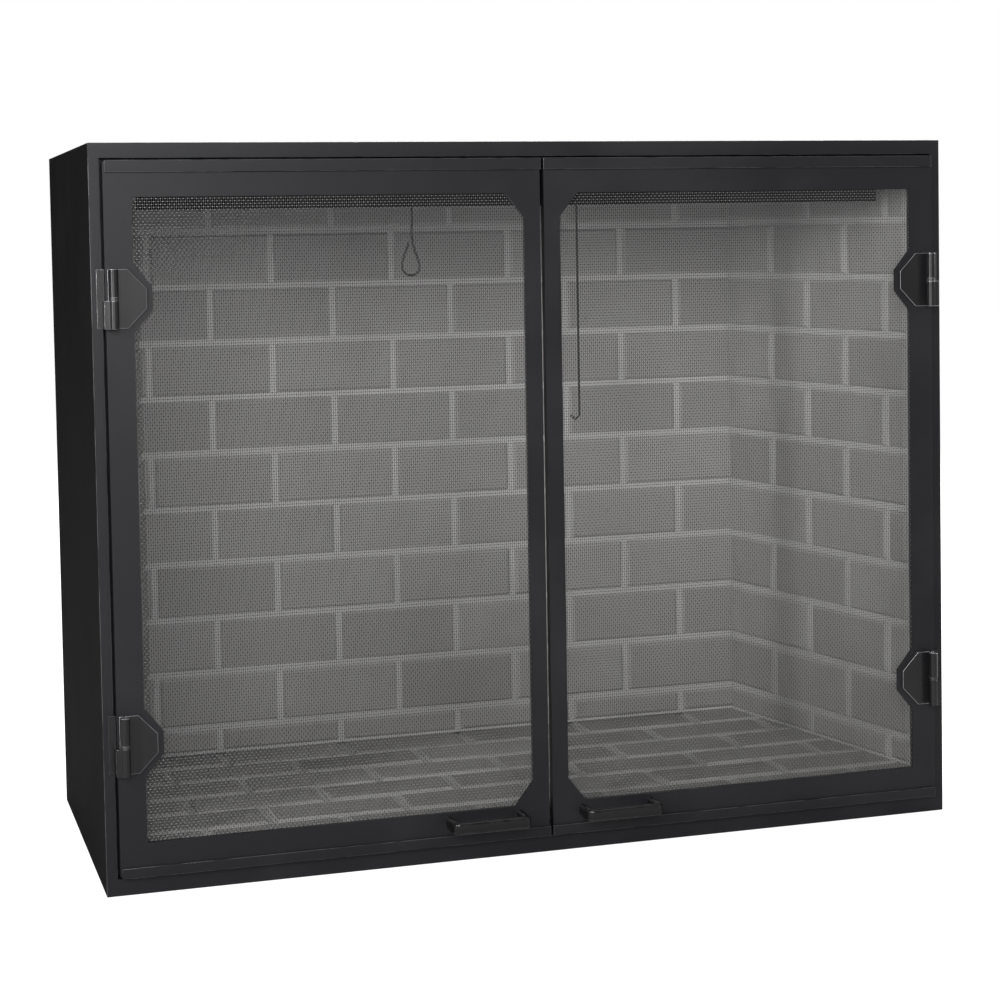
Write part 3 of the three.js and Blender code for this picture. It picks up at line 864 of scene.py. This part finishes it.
brick_panel(
    "back_brick_panel", back_low, Vector((1, 0, 0)),
    Vector((0, back_high.y - back_low.y, 0)), UP,
    back_high.x - back_low.x, back_high.z - back_low.z,
    first_line, MIDDLE_END - back_low.x,
)
brick_panel(
    "hearth_slab", Vector((hearth_low.x, hearth_low.y, hearth_high.z)), Vector((1, 0, 0)),
    Vector((0, 0, hearth_low.z - hearth_high.z)), Vector((0, 1, 0)),
    hearth_high.x - hearth_low.x, hearth_high.y - hearth_low.y,
    HEARTH_LINE, MIDDLE_END - hearth_low.x,
)


# %% Splayed side walls
def splayed_wall(side):
    """A side panel, from its front corner to its back one, or the other way round."""
    inward = 1 if side == "left" else -1
    corners = [v.co.copy() for v in frame["nodes"][f"{side}_brick_panel"].data.vertices]
    front_y, back_y = min(c.y for c in corners), max(c.y for c in corners)
    low = min(c.z for c in corners)
    high = max(c.z for c in corners)

    def face_edge(y):
        return max((c for c in corners if abs(c.y - y) < MM), key=lambda c: inward * c.x)

    front, back = face_edge(front_y), face_edge(back_y)
    start, end = (front, back) if side == "left" else (back, front)
    run = Vector((end.x - start.x, end.y - start.y, 0))
    wall_x = [c.x for c in corners if abs(c.y - front_y) < MM]
    brick_panel(
        f"{side}_brick_panel", Vector((start.x, start.y, low)), run.normalized(),
        Vector((-inward * (max(wall_x) - min(wall_x)), 0, 0)), UP,
        run.length, high - low, first_line,
        (0 if side == "left" else run.length) + inward * BRICK / 4,
    )


for side in SIDES:
    splayed_wall(side)

# %% [markdown]
# ## Floor and light
# A plain pale floor carries the box and its soft shadow. It also glows to the camera:
# less near the box, where the shadow falls, and fully white further off. Black paint
# shows mostly what it reflects, so the light is one broad panel in front and above,
# which fades down the doors, and a weaker one from the right that reaches the bricks
# through the mesh. A narrow strip at the left draws a bright line down each knuckle and
# handle corner. Two panels behind show the form of the back and the right side. The
# surroundings are white to the eye but dim as a light, or the black would turn grey.

# %% Floor
FLOOR_GAP = 0.5 * MM
FLOOR_SIZE = 14
NEAR_GLOW = 0.80
GLOW_FROM, GLOW_TO = 0.8, 3.0


def pale_floor():
    """A pale floor that glows to the camera: less near the box, so its shadow shows, and
    white further off.
    """
    finish = Finish("pale_studio_floor", Roughness=0.8, Specular_IOR_Level=0.1)
    mottle = finish.noise(0.4, 3)
    finish.set("Base Color", finish.blend(mottle, (0.46, 0.46, 0.46), (0.50, 0.50, 0.50)))
    away = finish.node(
        "ShaderNodeVectorMath", {"operation": "LENGTH"}, {0: finish.place()}, output="Value",
    )
    seen = finish.node("ShaderNodeLightPath", output="Is Camera Ray")
    near = (NEAR_GLOW, NEAR_GLOW, NEAR_GLOW)
    glow = finish.blend(finish.mask(away, GLOW_FROM, GLOW_TO), near, (1, 1, 1))
    finish.set("Emission Color", finish.blend(seen, (0, 0, 0), glow))
    finish.shader.inputs["Emission Strength"].default_value = 1
    return finish.material


bm = bmesh.new()
bmesh.ops.create_grid(bm, x_segments=4, y_segments=4, size=FLOOR_SIZE)
bmesh.ops.translate(bm, verts=bm.verts, vec=(0, 0, -FLOOR_GAP))
floor_mesh = bpy.data.meshes.new("studio_floor")
bm.to_mesh(floor_mesh)
bm.free()
floor_mesh.materials.append(pale_floor())
floor = bpy.data.objects.new("studio_floor", floor_mesh)
bpy.context.scene.collection.objects.link(floor)
print(floor.name, "lies", FLOOR_GAP / MM, "mm under the base")

# %% Surroundings and panels of light
DIM = 0.07
world = bpy.data.worlds.new("white_surroundings")
world.use_nodes = True
world.node_tree.nodes.clear()
seen = add_node(world.node_tree, "ShaderNodeLightPath", output="Is Camera Ray")
sky = add_node(
    world.node_tree, "ShaderNodeBackground",
    sockets={"Color": (1, 1, 1, 1), "Strength": seen * (1 - DIM) + DIM},
)
world_out = world.node_tree.nodes.new("ShaderNodeOutputWorld")
world.node_tree.links.new(sky.socket, world_out.inputs["Surface"])
bpy.context.scene.world = world


def light_panel(name, place, target, width, height, watts):
    panel = bpy.data.lights.new(name, "AREA")
    panel.shape = "RECTANGLE"
    panel.size, panel.size_y, panel.energy = width, height, watts
    lamp = bpy.data.objects.new(name, panel)
    aim = Vector(target) - Vector(place)
    lamp.matrix_world = (
        Matrix.Translation(place) @ aim.to_track_quat("-Z", "Y").to_matrix().to_4x4()
    )
    bpy.context.scene.collection.objects.link(lamp)


LIGHT_PANELS = {  # place, the point it faces, width, height, watts
    "front_panel": ((-1.1, -3.6, 1.6), (0.2, 0.1, 0.45), 2.2, 1.6, 128),
    "right_panel": ((2.4, -2.4, 1.4), (0.1, 0.1, 0.4), 1.6, 1.6, 11),
    "left_strip": ((-2.5, -1.9, 1.3), (0, -0.25, 0.6), 0.30, 2.0, 76),
    "top_panel": ((0.2, -0.4, 3.2), (0.1, 0, 0.4), 2.4, 2.4, 24),
    "back_panel": ((1.5, 3.4, 2.0), (0.3, 0.2, 0.4), 2.2, 1.8, 170),
    "right_rear_panel": ((3.4, 0.9, 1.7), (0.5, 0, 0.4), 1.8, 1.8, 120),
}
for name, panel in LIGHT_PANELS.items():
    light_panel(name, *panel)
bpy.context.scene.view_settings.view_transform = "Standard"
print("panels of light:", *LIGHT_PANELS)
